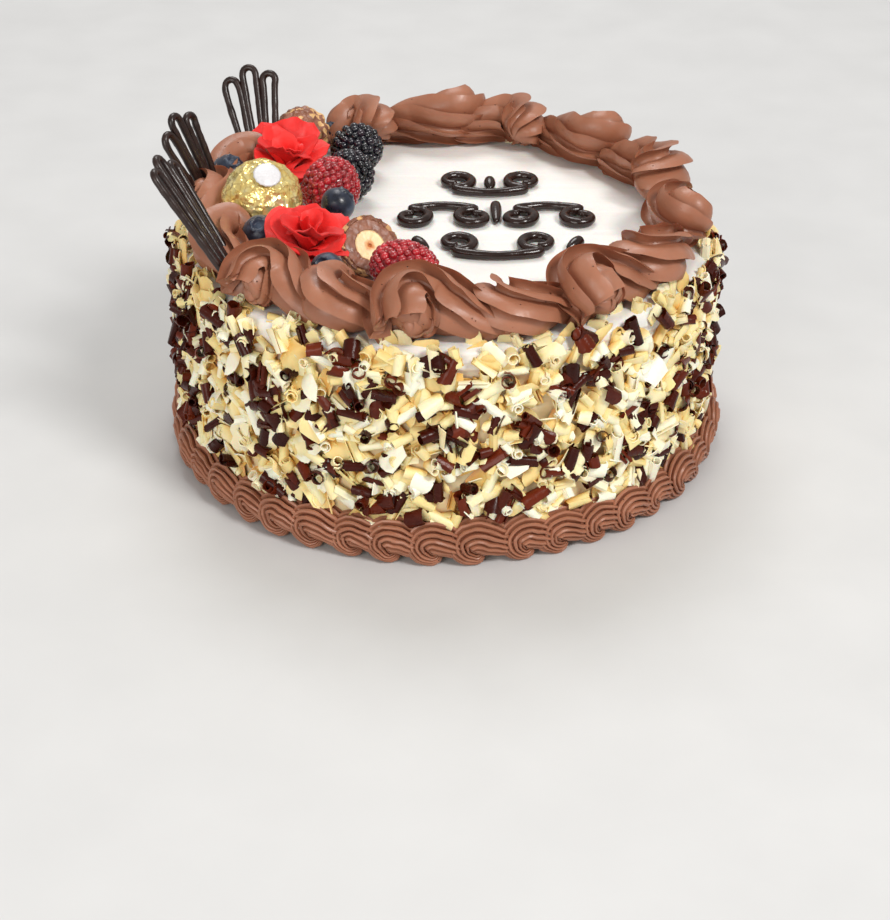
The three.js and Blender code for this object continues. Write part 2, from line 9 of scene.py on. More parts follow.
import bmesh
import bpy
import numpy as np
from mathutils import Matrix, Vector


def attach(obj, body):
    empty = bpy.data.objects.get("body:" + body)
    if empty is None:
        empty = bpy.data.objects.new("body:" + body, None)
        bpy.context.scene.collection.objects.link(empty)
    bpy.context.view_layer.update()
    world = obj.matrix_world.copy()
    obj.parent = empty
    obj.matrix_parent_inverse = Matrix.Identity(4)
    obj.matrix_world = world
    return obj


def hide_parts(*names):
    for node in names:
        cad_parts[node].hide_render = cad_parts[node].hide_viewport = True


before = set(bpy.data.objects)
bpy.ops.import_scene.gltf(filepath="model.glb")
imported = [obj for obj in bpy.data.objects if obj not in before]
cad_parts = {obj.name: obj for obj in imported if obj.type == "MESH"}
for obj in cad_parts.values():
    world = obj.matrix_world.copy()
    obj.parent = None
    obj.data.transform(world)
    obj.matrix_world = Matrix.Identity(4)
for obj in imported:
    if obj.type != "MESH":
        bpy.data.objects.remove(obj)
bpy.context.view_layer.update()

# ---- driving dimensions, as in the solid model ----
MM = 0.001
TURN = 2 * math.pi
CAKE_HEIGHT = 90
WALL_RADIUS = 108
TOP_EDGE_ROUND = 5
GAP = 0.3  # left between touching pieces
TOP = CAKE_HEIGHT + GAP  # where whatever lies on the cake begins

# border of shells round the foot
BORDER_SHELLS = 43

# ring of swirls on the top edge: each is a ridged rope, coiled once and pulled out to a tail
RING_RADIUS = 95
SWIRL_ROPE = 9.6
# The rope's course: along the ring, sideways and up from the cake's top, and its thickness.
SWIRL_COURSE = [
    (-2.5, 9.5, 7.5, 1.18), (-4, 5.5, 10.4, 1.3), (-3.5, 0.5, 12, 1.3), (0.5, -3.5, 12, 1.24),
    (7, -4, 11, 1.12), (14, -1.5, 9.5, 0.98), (22, 1, 7, 0.78), (31, 2.5, 4.5, 0.5),
]
# The cream that wells up in the coil, one rope within another: their courses as above.
SWIRL_CORES = [
    [(2, 0, 10.5, 0.8), (0.5, 6, 9, 0.92), (-0.6, 9.8, 7.2, 0.86)],
    [(3, -1, 9, 0.4), (1.5, 6, 8, 0.5), (0.2, 11.4, 5.8, 0.52)],
]
# angle in degrees from +X, radius, side on which the coil starts (1 outer, -1 inner), size,
# how far the coil is stretched along the ring, and how far it droops over the cake's edge
SWIRLS = [
    (-134.5, 96, 1, 1, 1, 2), (-116, 93.5, -1, 0.95, 1, 0),
    (-97, 95.5, 1, 1.12, 1, 6), (-76, 95, -1, 0.9, 1.15, 0),
    (-56, 95, 1, 1.1, 1, 5), (-34, 94, -1, 1, 1.15, 0),
    (-8, 96, 1, 1, 1.15, 0), (19, 94, -1, 1.05, 1.15, 0),
    (47, 97, 1, 0.97, 1.15, 0), (70.5, 95.5, -1, 0.96, 1, 0),
    (88, 98, 1, 1, 1.25, 0), (113, 95, -1, 1, 0.55, 0),
    (133, 96, 1, 0.95, 1, 0), (153, 95, -1, 0.95, 1.1, 0),
    (177, 96, 1, 0.95, 1.15, 0), (201, 93, -1, 0.95, 1.1, 0),
]

# heap on the top: centre and radius of each round piece
FOIL_BALL = ((-74, -10.8, TOP + 17.2), 17)
NUT_BALL = ((-63.1, 68.3, TOP + 13.2), 13)
CUT_BALL = ((-29.6, -40.9, TOP + 11), 12.6)
LABEL_ANGLE = math.radians(18)
LABEL_THICKNESS = 0.6
LABEL_FACING = (0.2, -0.5, 0.84)
CUT_FACING = (0.42, -0.62, 0.66)
COATING = 1.7
HAZELNUT_RADIUS = 6.5
# centre, radius, length against width, and the way that it points
RASPBERRIES = [
    ((-47.2, 6.4, 104.9), 12.1, 1.12, (0.3, 0.2, 1)),
    ((-15.5, -63.3, 101.6), 11.2, 1.28, (0.86, -0.2, -0.16)),
]
BRAMBLES = [
    ((-38.6, 58.2, 101.6), 11, 1.1, (0.6, -0.5, 0.5)),
    ((-40.8, 28.8, 101.4), 10.8, 1.05, (0.4, -0.2, 0.8)),
]
BLUEBERRIES = [
    ((-72.6, -35.5, 104), 7.5, (-0.1, -0.55, 0.8)),
    ((-91.5, 30.1, 102.6), 7.5, (0.3, -0.3, 0.8)),
    ((-43.3, -13, 106.5), 7.1, (0.6, 0.2, 0.7)),
    ((-45.2, -63.6, 101.8), 6.7, (-0.3, -0.6, 0.7)),
    ((-49.8, 83, 98.6), 6.2, (0.2, 0.1, 1)),
]
# centre, radius, the way that it faces, and its turn
ROSES = [
    ((-67.2, 41.3, 103.5), 16, (0.1, -0.35, 1), 0.4),
    ((-52.9, -45.1, 106), 15, (0.15, -0.3, 1), 1.3),
]

# chocolate fans: foot, top and the way across of three narrow loops side by side
FAN_ROD = 1.5
FAN_LOOPS = 3
FAN_SPREAD = 8.3
FAN_FOOT_SPREAD = 3.4
FAN_LOOP_WIDTH = 5.6
FAN_MIDDLE_EXTRA = 4
FANS = [
    ((-78, 44, TOP), (-85, 70, 130), (16, 0, 3)),
    ((-93, 10, TOP), (-109, 10, 131), (8.4, 14.7, -1.4)),
    ((-77, -62, TOP), (-107.5, -46, 136), (3.4, 16.5, -2.2)),
]

# piped scrolls on the top: middle, width, size of the end spirals, and side to which they curl
SCROLL_STROKE = 2.0
SCROLL_TURNS = 1.05
SCROLL_ARCH = 4
SCROLLS = [
    ((19, 41), 46, 8.2, -1), ((-1, 11), 42, 8, 1), ((43, 11), 42, 8, 1), ((21, -22), 50, 8.2, -1),
]
# start of each drop, and how far it is pulled
DROPS = [((19, 46), (0, -9)), ((21, 20), (0, -17)), ((-13, -16), (6, -7)), ((55, -16), (-6, -7))]

# ---- what the finer surface adds ----
SWIRL_RIBS = 8
SWIRL_GROOVE = 0.44  # groove depth against the rope's radius
SWIRL_LEAN = 0.66  # how far a crest leans over, against the space between two
SWIRL_TIPS = 1.8  # length of the pointed ends of the crests
SWIRL_STEPS = 88
CORE_RIBS = (7, 5)
SWIRL_TWIST = -2.4  # radians that the ribs turn along the rope
BORDER_RIBS = 14  # on the side that shows
BORDER_GROOVE = 0.34
BORDER_STEPS = 30
# A shell's course: along the ring, out from the wall and up, and the rope's radius.
SHELL_COURSE = [
    (3.8, 4.6, 5.0, 2.0), (1.0, 4.8, 3.2, 4.4), (-2.6, 3.8, 5.0, 6.6), (-3.6, 2.6, 9.0, 7.8),
    (-0.2, 2.2, 11.4, 8.0), (4.6, 2.2, 10.6, 7.4), (10.0, 2.0, 8.2, 6.4), (16.5, 1.2, 6.4, 5.2),
]

BEND_ROOM = 0.9  # share of a bend's radius that a rope fills on its inner side
TIP_REACH = 0.12  # share of a rope's length over which its tips fade
MOUTH = [(12, 0.3), (8, 0.5), (3, 0.78)]  # rings that turn back into an open start, and widths

# Kinds of curls: number, points along and across, radius, length, turns round the axis, lift off
# the wall, and spread of the tilt.
WHITE_CURLS = [
    (700, 3, 5, (6, 9), (8, 13), (0.12, 0.22), (-0.8, 0.2), 0.08),
    (1120, 2, 10, (1.6, 2.9), (7, 13), (0.85, 1.4), (-1.4, 0.8), 0.14),
    (330, 2, 12, (2.1, 3.0), (4, 7), (1.0, 1.6), (-0.4, 0.8), 1.3),
    (420, 3, 7, (3.0, 4.8), (7, 12), (0.2, 0.4), (0.0, 1.2), 0.2),
]
DARK_CURLS = [
    (300, 2, 13, (1.8, 3.1), (7, 12), (0.85, 1.5), (0.2, 1.6), 0.25),
    (170, 2, 13, (2.4, 3.3), (4, 7), (0.9, 1.3), (0.3, 1.4), 1.2),
    (270, 4, 9, (2.7, 4.2), (6, 10), (0.28, 0.5), (0.5, 2.0), 0.3),
]
WHITE_CURL_HEIGHTS = (17, 94)
DARK_CURL_HEIGHTS = (20, 90)
CURL_THICKNESS = (0.5, 0.9)
STRAY_CHANCE = 0.14  # of a dark curl outside the bands where they lie thick

# number and radius of the drupelets
RASPBERRY_DRUPELETS = (210, 1.6)
BRAMBLE_DRUPELETS = (120, 1.8)
# A rose's petals, from its heart outwards: how many, then against the rose's radius their start
# and flare from the axis, height, half width, cup and curl.
ROSE_LAYERS = [
    (2, 0.08, 0.20, 1.34, 0.62, 0.08, 0.06),
    (3, 0.16, 0.44, 1.40, 0.80, 0.16, 0.14),
    (4, 0.24, 0.66, 1.12, 0.80, 0.20, 0.18),
    (3, 0.28, 0.72, 0.74, 0.86, 0.16, 0.12),
]

# ---- camera and studio, in metres ----
CAMERA_PLACE = (-0.00024, -0.7306, 0.4204)
CAMERA_TILT = math.radians(58.82)
SENSOR = 36  # millimetres
PHOTO_HEIGHT = 920  # pixels
FOCAL_LENGTH = 1929.28  # pixels of the photo
# name, place, aim, size, watts and colour of each soft light
LIGHTS = [
    ("key", (1.05, -1.05, 1.65), (0, 0, 0.05), 0.6, 28, (1.0, 0.98, 0.95)),
    ("fill", (-0.8, -1.5, 0.65), (0, 0, 0.05), 1.0, 11, (1.0, 0.965, 0.91)),
    ("back", (-0.1, 0.8, 1.4), (0, 0.03, 0.08), 0.8, 10, (1.0, 0.99, 0.98)),
]
WORLD_COLOUR = (1.0, 0.97, 0.93, 1.0)
WORLD_STRENGTH = 0.44
FLOOR_REACH = 4.0


# ---- numbers ----
def waves(points, size, seed):
    """Smooth random numbers at points, about -2 to 2, that change over about the given size."""
    count = 24
    rng = np.random.default_rng(seed)
    directions = rng.normal(size=(count, 3))
    directions /= np.linalg.norm(directions, axis=1, keepdims=True)
    steps = directions * (TURN / size * rng.uniform(0.6, 1.5, (count, 1)))
    phases = rng.uniform(0, TURN, count)
    return np.cos(points @ steps.T + phases).sum(-1) * math.sqrt(2 / count)


def unit(vectors):
    return vectors / np.maximum(np.linalg.norm(vectors, axis=-1, keepdims=True), 1e-12)


def basis(direction, turn=0.0):
    """Three rows: two directions across the given one, turned about it, and that one."""
    axis = unit(np.array(direction, float))
    aside = unit(np.cross(axis, (0.0, 0.0, 1.0) if abs(axis[2]) < 0.9 else (0.0, 1.0, 0.0)))
    other = np.cross(axis, aside)
    return np.array([
        aside * math.cos(turn) + other * math.sin(turn),
        other * math.cos(turn) - aside * math.sin(turn),
        axis,
    ])


def placed(points, direction, place, turn=0.0):
    """Points made about the origin with +Z as their axis, put where they belong."""
    return points @ basis(direction, turn) + np.array(place, float)


def circle(count):
    """Even angles once round."""
    return np.arange(count) / count * TURN


def revolved(radius, height, around):
    """Points about the Z axis at a radius and a height, at the angles around it."""
    x, y = radius * np.cos(around), radius * np.sin(around)
    return np.stack(np.broadcast_arrays(x, y, height), axis=-1)


def spline(course, count):
    """Points at even steps along a smooth curve through the course, and the tangents there."""
    p = np.array(course, float)
    p = np.vstack([2 * p[0] - p[1], p, 2 * p[-1] - p[-2]])
    share = np.linspace(0, 1, 40, endpoint=False)[:, None]
    parts = []
    for a, b, c, d in zip(p, p[1:], p[2:], p[3:]):
        before, here, after = (math.sqrt(np.linalg.norm(step)) for step in (b - a, c - b, d - c))
        leave = ((b - a) / before - (c - a) / (before + here) + (c - b) / here) * here
        arrive = ((c - b) / here - (d - b) / (here + after) + (d - c) / after) * here
        parts.append(
            (2 * share**3 - 3 * share**2 + 1) * b + (share**3 - 2 * share**2 + share) * leave
            + (3 * share**2 - 2 * share**3) * c + (share**3 - share**2) * arrive)
    curve = np.vstack(parts + [p[-2:-1]])
    along = np.concatenate([[0], np.cumsum(np.linalg.norm(np.diff(curve, axis=0), axis=1))])
    even = np.linspace(0, along[-1], count)
    points = np.stack([np.interp(even, along, curve[:, k]) for k in range(3)], axis=1)
    return points, unit(np.gradient(points, axis=0)), along[-1]


# ---- meshes ----
class Shape:
    """Points with faces between them. Each face has a tint from 0 to 1."""

    def __init__(self):
        self.points, self.faces, self.tints = [], [], []
        self.count = 0

    def add(self, points, faces, tint=0.5):
        """faces is a list of arrays: each has as many columns as its faces have corners."""
        points = np.asarray(points, float).reshape(-1, 3)
        if volume(points, faces) < 0:
            faces = [part[:, ::-1] for part in faces]
        for part in faces:
            self.faces.append(part + self.count)
            self.tints.append(np.full(len(part), tint))
        self.points.append(points)
        self.count += len(points)
        return self

    def piece(self, name, slot, node, material, sharp=None):
        """The shape as an object that stands for a node of the frame. Edges that bend by more
        than sharp degrees are drawn sharp."""
        mesh = bpy.data.meshes.new(name)
        points = np.vstack(self.points) * MM
        sizes = np.concatenate([np.full(len(part), part.shape[1]) for part in self.faces])
        corners = np.concatenate([part.ravel() for part in self.faces])
        mesh.vertices.add(len(points))
        mesh.vertices.foreach_set("co", points.ravel())
        mesh.loops.add(len(corners))
        mesh.loops.foreach_set("vertex_index", corners.astype(np.int32))
        mesh.polygons.add(len(sizes))
        starts = np.concatenate([[0], np.cumsum(sizes)[:-1]])
        mesh.polygons.foreach_set("loop_start", starts.astype(np.int32))
        mesh.polygons.foreach_set("use_smooth", np.full(len(sizes), True))
        tint = mesh.attributes.new("tint", "FLOAT", "FACE")
        tint.data.foreach_set("value", np.concatenate(self.tints).astype(np.float32))
        mesh.update(calc_edges=True)
        if sharp:
            mesh.set_sharp_from_angle(angle=math.radians(sharp))
        mesh.materials.append(material)
        made = bpy.data.objects.new(name, mesh)
        bpy.context.scene.collection.objects.link(made)
        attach(made, "root")
        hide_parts(node)


def volume(points, faces):
    total = 0.0
    for part in faces:
        for k in range(1, part.shape[1] - 1):
            a, b, c = points[part[:, 0]], points[part[:, k]], points[part[:, k + 1]]
            total += np.einsum("ij,ij->i", a, np.cross(b, c)).sum()
    return total / 6


def quads(rows, columns, wrap):
    """The faces between the points of a grid, whose rows close on themselves if wrap is true."""
    row = np.arange(rows - 1)[:, None] * columns
    column = np.arange(columns if wrap else columns - 1)[None, :]
    beside = (column + 1) % columns
    corners = [row + column, row + beside, row + columns + beside, row + columns + column]
    return np.stack(corners, axis=-1).reshape(-1, 4)


def capped(rings):
    """A closed body from rings of points: a fan to its middle closes each end."""
    rows, columns, _ = rings.shape
    points = np.vstack([rings.reshape(-1, 3), rings[0].mean(0), rings[-1].mean(0)])
    here = np.arange(columns)
    beside = (here + 1) % columns
    last = (rows - 1) * columns
    first_cap = np.stack([beside, here, np.full(columns, rows * columns)], axis=1)
    last_cap = np.stack([here + last, beside + last, np.full(columns, rows * columns + 1)], axis=1)
    return points, [quads(rows, columns, True), first_cap, last_cap]


def slab(rows, columns):
    """The faces of a thin sheet: the points of its upper grid, then those of its lower one."""
    size = rows * columns
    upper = quads(rows, columns, False)
    edge = np.concatenate([
        np.arange(columns),
        np.arange(1, rows) * columns + columns - 1,
        (rows - 1) * columns + np.arange(columns - 2, -1, -1),
        np.arange(rows - 2, 0, -1) * columns,
    ])
    after = np.roll(edge, -1)
    rim = np.stack([after, edge, edge + size, after + size], axis=1)
    return [np.vstack([upper, upper[:, ::-1] + size, rim])]


def icosphere(subdivisions):
    made = bmesh.new()
    bmesh.ops.create_icosphere(made, subdivisions=subdivisions, radius=1.0)
    points = np.array([vertex.co[:] for vertex in made.verts])
    faces = np.array([[vertex.index for vertex in face.verts] for face in made.faces])
    made.free()
    return points, [faces]


def ridges(ribs, samples, groove, lean):
    """The section of a ridged rope: angles and reach of its points, and how near each is to a
    crest. The crests are sharp and lean over to one side, with wide hollows between them."""
    share = np.arange(samples) / samples
    share = share - 0.08 * np.sin(TURN * share)
    hollow = np.sin(math.pi * share)
    crest = (1 - hollow) ** 1.6
    angle = (np.arange(ribs)[:, None] + share + lean * crest).ravel() * TURN / ribs
    return angle - math.pi / 2, np.tile(1 - groove * hollow, ribs), np.tile(crest, ribs)


def flutes(ribs, samples, groove, around):
    """The section of a rope with round ribs and narrow grooves, over an angle around it that is
    the same on each side of its rise. Given as the ridges above."""
    share = np.arange(samples) / samples
    cut = (1 - np.sin(math.pi * share)) ** 1.5
    angle = ((np.arange(ribs)[:, None] + share) * around / ribs).ravel()
    behind = np.linspace(around, TURN, 5)[:-1]
    angle = np.concatenate([angle, behind]) + math.pi / 2 - around / 2
    reach = np.concatenate([np.tile(1 - groove * cut, ribs), np.full(4, 1 - groove)])
    return angle, reach, np.zeros(len(angle))


def plain_section(sides):
    return circle(sides), np.ones(sides), np.zeros(sides)


def rope(course, radii, section, *, steps, twist=0.0, up=(0, 0, 1), floor=None, start=0.05,
         finish=0.05, tips=0.0):
    """A rope through the course, with its radius at each of even places along it. It is rounded
    off over a share of its length at its start and finish, and pressed flat on the floor. tips
    is how far its crests run on beyond its open start."""
    points, along, length = spline(course, steps + 1)
    share = np.linspace(0, 1, steps + 1)
    radius = np.interp(share, np.linspace(0, 1, len(radii)), radii)
    near_end = (1 - share) / finish if tips else np.minimum(share / start, (1 - share) / finish)
    radius = radius * np.sqrt(1 - np.clip(1 - near_end, 0, 0.98) ** 2)
    side = unit(np.cross(along, np.array(up, float)))
    rise = np.cross(side, along)
    angle, reach, crest = section
    turned = angle + twist * share[:, None]
    reach = radius[:, None] * reach
    offset = (side[:, None] * (reach * np.cos(turned))[..., None]
              + rise[:, None] * (reach * np.sin(turned))[..., None])
    # the inner side of a tight bend stops short of the bend's own centre
    bend = np.gradient(along, axis=0) / (length / steps)
    curvature = np.linalg.norm(bend, axis=1)
    inward = bend / np.maximum(curvature, 1e-9)[:, None]
    room = BEND_ROOM / np.maximum(curvature, 1e-6)
    over = np.einsum("ijk,ik->ij", offset, inward) - room[:, None]
    offset -= np.maximum(over, 0)[..., None] * inward[:, None]
    if tips:
        pulled = tips * np.clip(1 - share / TIP_REACH, 0, 1)[:, None] ** 1.5 * crest
        offset -= along[:, None] * pulled[..., None]
    rings = points[:, None] + offset
    if tips:
        mouth = [points[k] + offset[k] * width for k, width in MOUTH]
        rings = np.concatenate([mouth, rings])
    if floor is not None:
        rings[..., 2] = np.maximum(rings[..., 2], floor)
    return rings


# ---- materials ----
def linear(colour):
    """An sRGB colour of 0 to 255 as the linear one that a shader takes."""
    share = np.array(colour, float) / 255
    made = np.where(share <= 0.04045, share / 12.92, ((share + 0.055) / 1.055) ** 2.4)
    return (*made, 1.0)


class Finish:
    """A material whose colour, roughness and bumps come from nodes."""

    def __init__(self, name, **sockets):
        self.material = bpy.data.materials.new(name)
        self.material.use_nodes = True
        self.tree = self.material.node_tree
        self.shader = self.tree.nodes["Principled BSDF"]
        self.place = self.node("ShaderNodeTexCoord").outputs["Object"]
        for socket, value in sockets.items():
            self.shader.inputs[socket.replace("_", " ")].default_value = value

    def node(self, kind, inputs=None, **settings):
        made = self.tree.nodes.new(kind)
        for name, value in settings.items():
            setattr(made, name, value)
        for name, value in (inputs or {}).items():
            if isinstance(value, bpy.types.NodeSocket):
                self.tree.links.new(value, made.inputs[name])
            else:
                made.inputs[name].default_value = value
        return made

    def noise(self, size, detail=3, rough=0.5, place=None):
        inputs = {"Vector": place or self.place, "Scale": 1 / (size * MM), "Detail": detail,
                  "Roughness": rough}
        return self.node("ShaderNodeTexNoise", inputs).outputs["Fac"]

    def cells(self, size, feature="F1", output="Distance"):
        inputs = {"Vector": self.place, "Scale": 1 / (size * MM)}
        return self.node("ShaderNodeTexVoronoi", inputs, feature=feature).outputs[output]

    def tint(self):
        return self.node("ShaderNodeAttribute", attribute_name="tint").outputs["Fac"]

    def height(self):
        return self.node("ShaderNodeSeparateXYZ", {"Vector": self.place}).outputs["Z"]

    def ramp(self, source, *stops):
        """The source through a ramp of stops, each a place from 0 to 1 and an sRGB colour."""
        made = self.node("ShaderNodeValToRGB", {"Fac": source})
        elements = made.color_ramp.elements
        while len(elements) < len(stops):
            elements.new(0.5)
        for element, (place, colour) in zip(elements, stops):
            element.position = place
            element.color = linear(colour)
        return made.outputs["Color"]

    def span(self, source, low, high, to_low, to_high):
        inputs = {"Value": source, "From Min": low, "From Max": high,
                  "To Min": to_low, "To Max": to_high}
        return self.node("ShaderNodeMapRange", inputs).outputs["Result"]

    def maths(self, operation, first, second):
        return self.node("ShaderNodeMath", {0: first, 1: second}, operation=operation).outputs[0]

    def weighted(self, *parts):
        """The sum of some sources, each times its weight."""
        scaled = [self.maths("MULTIPLY", source, weight) for source, weight in parts]
        total = scaled[0]
        for one in scaled[1:]:
            total = self.maths("ADD", total, one)
        return total

    def mix(self, share, first, second):
        """A colour mixed by a share with another, which is a socket or an sRGB colour."""
        end = second if isinstance(second, bpy.types.NodeSocket) else linear(second)
        made = self.node("ShaderNodeMix", {0: share, 6: first, 7: end}, data_type="RGBA")
        return made.outputs[2]

    def drive(self, socket, source):
        self.tree.links.new(source, self.shader.inputs[socket])

    def colour(self, source, *stops):
        """The surface's colour, from a colour or from a source through a ramp of stops."""
        self.drive("Base Color", self.ramp(source, *stops) if stops else source)

    def roughness(self, source, to_low, to_high, low=0.3, high=0.7):
        """The roughness where the source, such as a noise, is low and where it is high."""
        self.drive("Roughness", self.span(source, low, high, to_low, to_high))

    def bump(self, *layers):
        """Bumps from pairs of a height from 0 to 1 and its depth in millimetres."""
        normal = None
        for height, depth in layers:
            inputs = {"Height": height, "Distance": depth * MM}
            if normal:
                inputs["Normal"] = normal
            normal = self.node("ShaderNodeBump", inputs).outputs["Normal"]
        self.drive("Normal", normal)


def mottled(name, stops, cloud, rough, grain, tint=0.0, rough_cloud=None, **sockets):
    """A material mottled by a cloud, given by its size and detail, through stops of colour. A
    share of the tone is each face's own tint. rough is the roughness where the cloud, or one of
    its own, is low and high. grain is the size, detail and depth of the bumps."""
    finish = Finish(name, **sockets)
    noise = finish.noise(*cloud)
    tone = finish.weighted((finish.tint(), tint), (noise, 1 - tint)) if tint else noise
    finish.colour(tone, *stops)
    finish.roughness(finish.noise(*rough_cloud) if rough_cloud else noise, *rough)
    *size, depth = grain
    finish.bump((finish.noise(*size), depth))
    return finish.material


def white_cream():
    """White cream with smoothing lines, warmer and a little darker low on the wall among the curls:
    painted shade, warmed as by light bounced off the yellow curls.
    """
    finish = Finish("white_cream", Subsurface_Weight=0.2, Subsurface_Scale=0.003)
    across = finish.node("ShaderNodeMapping", {"Vector": finish.place, "Scale": (0.05, 1.6, 1.6)})
    lines = finish.noise(6, 4, place=across.outputs[0])
    cloud = finish.noise(30)
    clean = finish.ramp(cloud, (0.3, (245, 244, 241)), (0.7, (236, 234, 230)))
    # painted warm shade among the curls, fading out towards the top edge
    painted_warm_shade = finish.span(finish.height(), 74 * MM, 84 * MM, 0.85, 0)
    finish.colour(finish.mix(painted_warm_shade, clean, (246, 222, 168)))
    finish.roughness(cloud, 0.42, 0.58)
    finish.bump((lines, 0.25), (finish.noise(1.5), 0.05))
    return finish.material


def chocolate_cream():
    """Satin chocolate cream with faint streaks and tiny burst air bubbles, each darkened with
    painted shade.
    """
    finish = Finish("chocolate_cream", Subsurface_Weight=0.08, Subsurface_Scale=0.002)
    cloud = finish.noise(14, detail=2)
    body = finish.ramp(cloud, (0.3, (153, 99, 74)), (0.7, (168, 112, 86)))
    bubble = finish.cells(4.6)
    # painted shade inside the bubble pits
    pit_shade = finish.span(bubble, 0.035, 0.075, 1.0, 0.0)
    finish.colour(finish.mix(pit_shade, body, (70, 40, 30)))
    finish.roughness(finish.noise(3), 0.33, 0.47)
    finish.bump((finish.noise(2.2, 4), 0.12), (finish.span(bubble, 0.03, 0.09, 0, 1), 0.25))
    return finish.material


def painted_shade_depth(finish):
    """0 at the wall to 1 on the outermost curls, and towards 1 over the top edge. It sets how much
    painted shade a white curl gets, most at the wall.
    """
    kind = "ShaderNodeVectorMath"
    flat = finish.node(kind, {0: finish.place, 1: (1, 1, 0)}, operation="MULTIPLY")
    out = finish.node(kind, {0: flat.outputs[0]}, operation="LENGTH").outputs["Value"]
    over = finish.span(finish.height(), (CAKE_HEIGHT - 8) * MM, (CAKE_HEIGHT - 2) * MM, 0, 0.8)
    deep = finish.span(out, (WALL_RADIUS + 0.3) * MM, (WALL_RADIUS + 4.5) * MM, 0, 1)
    return finish.maths("MAXIMUM", deep, over)


def white_curls():
    """Cream white where it stands out, and a deeper yellow down among the other curls, which is
    painted shade.
    """
    finish = Finish("white_curls", Subsurface_Weight=0.2, Subsurface_Scale=0.0015)
    cloud = finish.noise(5)
    # the depth share gives painted shade, deepest orange at the wall; the tint and cloud are the
    # curls' own tone
    tone = finish.weighted((finish.tint(), 0.35), (cloud, 0.15), (painted_shade_depth(finish), 0.5))
    finish.colour(
        tone, (0.1, (206, 126, 46)), (0.36, (236, 188, 102)), (0.62, (250, 226, 160)),
        (0.86, (255, 248, 226)))
    finish.roughness(cloud, 0.34, 0.5)
    finish.bump((finish.noise(1.6, 4), 0.15))
    return finish.material


def dark_curls():
    """Dark chocolate with a dull shine, some pieces redder than others."""
    stops = [(0.1, (40, 8, 2)), (0.5, (66, 18, 6)), (0.9, (110, 40, 18))]
    return mottled("dark_curls", stops, (4, 3), (0.16, 0.32), (2.2, 4, 0.25), tint=0.7,
                   Specular_IOR_Level=0.2)


def gold_foil():
    """Pale gold facets, with painted shade along the creases between them."""
    finish = Finish("gold_foil", Metallic=0.6)
    fold = finish.cells(3.4)
    fine = finish.noise(1.6)
    gold = finish.ramp(
        finish.noise(5), (0.3, (246, 206, 112)), (0.55, (255, 234, 156)), (0.8, (255, 247, 204)))
    # painted shade along the creases between the facets
    crease_shade = finish.span(finish.cells(3.4, feature="DISTANCE_TO_EDGE"), 0.0, 0.08, 0.4, 0.0)
    finish.colour(finish.mix(crease_shade, gold, (158, 104, 34)))
    finish.roughness(fine, 0.14, 0.26)
    finish.bump((fold, 0.9), (fine, 0.12))
    return finish.material


def label_paper():
    stops = [(0.3, (214, 214, 217)), (0.7, (226, 226, 229))]
    return mottled("label_paper", stops, (0.8, 4), (0.3, 0.42), (4, 3, 0.15),
                   Coat_Weight=0.3, Coat_Roughness=0.2)


def nut_coating():
    """Milk chocolate over chopped nuts, of which pale bits show."""
    finish = Finish("nut_coating")
    chop = finish.cells(2.6, output="Color")
    bits = finish.node("ShaderNodeSeparateColor", {"Color": chop}).outputs["Red"]
    chocolate = finish.ramp(finish.noise(4), (0.3, (122, 76, 56)), (0.7, (154, 100, 76)))
    nuts = finish.ramp(finish.noise(1.5), (0.3, (206, 152, 92)), (0.7, (236, 196, 140)))
    finish.colour(finish.mix(finish.span(bits, 0.74, 0.8, 0.0, 1.0), chocolate, nuts))
    finish.roughness(bits, 0.32, 0.55)
    finish.bump((finish.cells(2.6), 0.7), (finish.noise(1.0, 4), 0.25))
    return finish.material


def nut_filling():
    stops = [(0.3, (128, 80, 62)), (0.7, (160, 108, 86))]
    return mottled("nut_filling", stops, (3, 4), (0.3, 0.5), (1.6, 4, 0.2),
                   Subsurface_Weight=0.05, Subsurface_Scale=0.002)


def hazelnut(centre):
    """A halved nut: cream coloured, with a brown hollow at its middle."""
    finish = Finish("hazelnut", Subsurface_Weight=0.2, Subsurface_Scale=0.002)
    spot = finish.node("ShaderNodeVectorMath", {0: finish.place, 1: centre}, operation="DISTANCE")
    away = finish.maths("DIVIDE", spot.outputs["Value"], HAZELNUT_RADIUS * MM)
    wavy = finish.maths("ADD", away, finish.span(finish.noise(2), 0.3, 0.7, -0.07, 0.07))
    finish.colour(
        wavy, (0.04, (176, 84, 40)), (0.2, (224, 150, 84)), (0.4, (250, 222, 172)),
        (0.85, (252, 228, 180)), (1.0, (226, 176, 116)))
    finish.roughness(finish.noise(2), 0.3, 0.45)
    finish.bump((finish.noise(1.2), 0.12))
    return finish.material


def raspberry():
    stops = [(0.2, (138, 3, 20)), (0.5, (168, 7, 26)), (0.8, (192, 16, 36))]
    return mottled("raspberry", stops, (6, 3), (0.22, 0.4), (0.7, 3, 0.08), tint=0.6,
                   rough_cloud=(2, 3), Subsurface_Weight=0.3, Subsurface_Scale=0.002,
                   Sheen_Weight=0.1, Sheen_Roughness=0.5, Coat_Weight=0.7, Coat_Roughness=0.08)


def bramble():
    """Nearly black drupelets, some of them purple."""
    stops = [(0.2, (10, 11, 18)), (0.6, (22, 22, 34)), (0.9, (44, 24, 40))]
    return mottled("bramble", stops, (5, 3), (0.15, 0.32), (0.9, 3, 0.06), tint=0.6,
                   rough_cloud=(2, 3), Coat_Weight=0.5, Coat_Roughness=0.1)


def blueberry():
    """Dark skin under a patchy, waxy, grey-blue bloom."""
    stops = [(0.35, (18, 22, 35)), (0.55, (36, 46, 66)), (0.75, (86, 100, 120))]
    return mottled("blueberry", stops, (7, 5, 0.6), (0.24, 0.55, 0.35, 0.65), (1.2, 3, 0.05),
                   Sheen_Weight=0.2, Sheen_Roughness=0.4)


